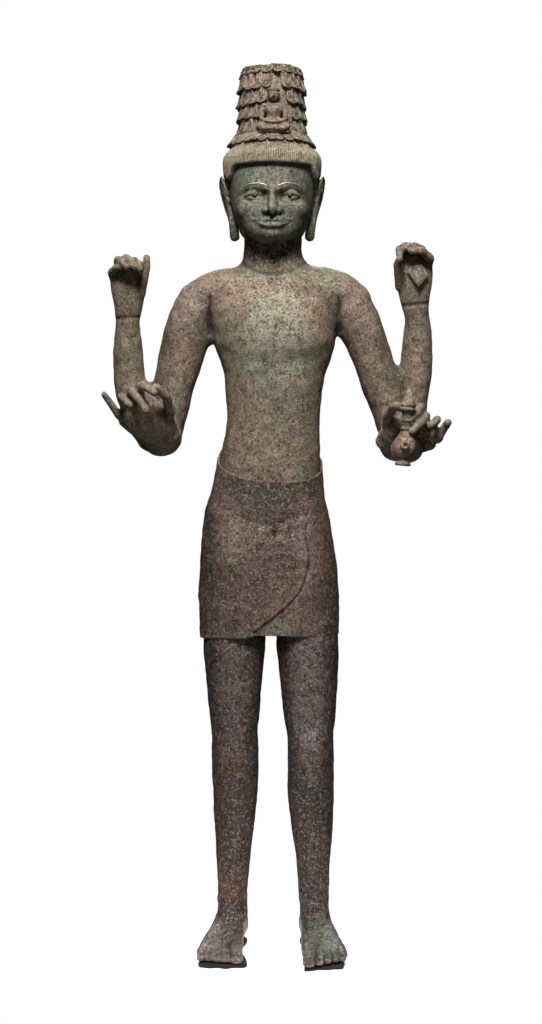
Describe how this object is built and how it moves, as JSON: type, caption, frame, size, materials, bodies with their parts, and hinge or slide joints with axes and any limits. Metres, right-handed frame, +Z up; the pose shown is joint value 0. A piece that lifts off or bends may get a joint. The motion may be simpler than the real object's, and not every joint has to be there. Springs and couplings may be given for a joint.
{
  "type": "standing bodhisattva figure",
  "caption": "Standing bronze bodhisattva with four arms, short wrapped cloth, tall headdress of hair locks with a seated figure in relief, flask in the lower left hand.",
  "frame": {"origin": "centre of the bounding box in plan, at the undersides of the sole pads", "axes": "+Z up along the standing figure, the face looks towards -Y, +X to the figure's left"},
  "size_m": [0.5253, 0.3475, 1.413],
  "materials": {
    "bronze": "old patinated cast bronze, brown with green and pink-grey patches, matt",
    "silver_inlay": "silver inlay, slightly tarnished",
    "dark_inlay": "polished black stone or glass bead"
  },
  "bodies": {
    "root": {"bodhisattva_figure": "bronze", "brow_inlay_right": "silver_inlay", "brow_inlay_left": "silver_inlay", "pupil_inlay_right": "dark_inlay", "pupil_inlay_left": "dark_inlay"}
  },
  "joints": []
}
